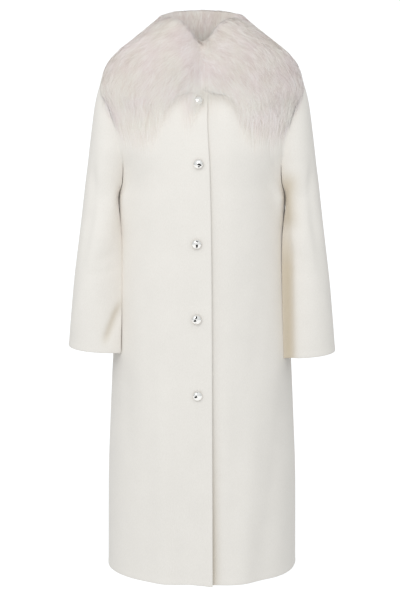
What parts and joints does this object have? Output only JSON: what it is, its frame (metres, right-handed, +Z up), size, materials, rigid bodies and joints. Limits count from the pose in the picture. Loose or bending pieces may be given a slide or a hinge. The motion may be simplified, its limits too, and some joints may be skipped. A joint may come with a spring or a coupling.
{
  "type": "raglan coat",
  "caption": "Long straight coat with raglan sleeves, a lapped front with domed shank buttons and a deep long-haired fur collar, filled out as worn with the inside left hollow.",
  "frame": {"origin": "in the neck hole, midway between the shoulders and level with the shoulder line that carries the coat", "axes": "+Z up, -Y is the coat's front, +X is the wearer's left"},
  "size_m": [0.57, 0.3498, 1.2013],
  "materials": {
    "front_right": "soft felted ivory wool",
    "front_left": "soft felted ivory wool",
    "back": "soft felted ivory wool",
    "sleeve_right": "soft felted ivory wool",
    "sleeve_left": "soft felted ivory wool",
    "fur_collar": "long-haired pale fur",
    "button_1": "polished silver-toned metal",
    "button_2": "polished silver-toned metal",
    "button_3": "polished silver-toned metal",
    "button_4": "polished silver-toned metal",
    "button_5": "polished silver-toned metal"
  },
  "bodies": {
    "root": {"front_right": "front_right", "front_left": "front_left", "back": "back", "sleeve_right": "sleeve_right", "sleeve_left": "sleeve_left", "fur_collar": "fur_collar", "button_1": "button_1", "button_2": "button_2", "button_3": "button_3", "button_4": "button_4", "button_5": "button_5"}
  },
  "joints": []
}
